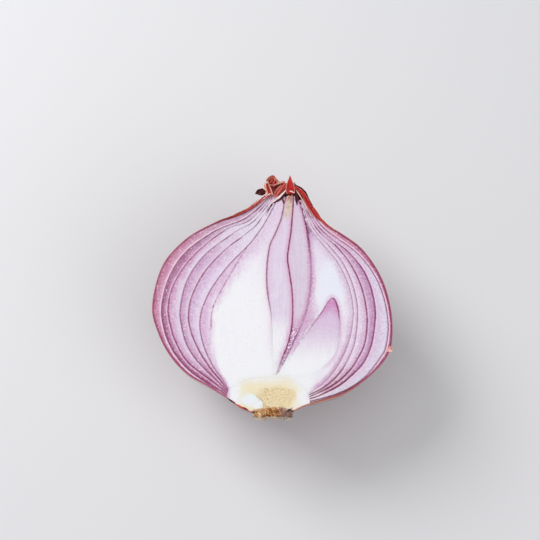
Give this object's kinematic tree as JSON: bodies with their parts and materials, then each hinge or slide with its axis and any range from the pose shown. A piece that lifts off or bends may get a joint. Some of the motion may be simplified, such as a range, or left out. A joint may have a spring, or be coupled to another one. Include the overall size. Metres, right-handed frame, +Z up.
{
  "type": "halved red onion",
  "caption": "Half of a red onion cut from root to neck, lying on its rounded back with the ringed cut face up, its papery skin, basal plate and withered neck in place.",
  "frame": {"origin": "middle of the small flat spot that the half rests on, under the widest part of the bulb", "axes": "+Z up and out of the cut face, +Y from the root end to the neck, +X across the cut face, to the right as seen from above with the neck at the top"},
  "size_m": [0.0826, 0.0859, 0.0418],
  "materials": {
    "dry_skin": "thin glossy dry onion skin, deep crimson, papery at the neck",
    "outer_scale": "wet cut onion flesh, purple-pink",
    "fleshy_scale": "wet cut onion flesh, lilac with a magenta outer line",
    "inner_scale": "wet cut onion flesh, white with a trace of lilac",
    "centre_leaf": "wet cut onion flesh, pale lilac edged with magenta",
    "basal_plate": "dense granular stem tissue, cream",
    "root_scar": "dry corky scar with trimmed root stubs, rusty brown"
  },
  "bodies": {
    "root": {"dry_skin": "dry_skin", "scale_1": "outer_scale", "scale_2": "fleshy_scale", "scale_3": "fleshy_scale", "scale_4": "fleshy_scale", "scale_5": "fleshy_scale", "inner_scale": "inner_scale", "centre_leaf_left": "centre_leaf", "centre_leaf_right": "centre_leaf", "side_bud": "centre_leaf", "basal_plate": "basal_plate", "root_scar": "root_scar"}
  },
  "joints": []
}
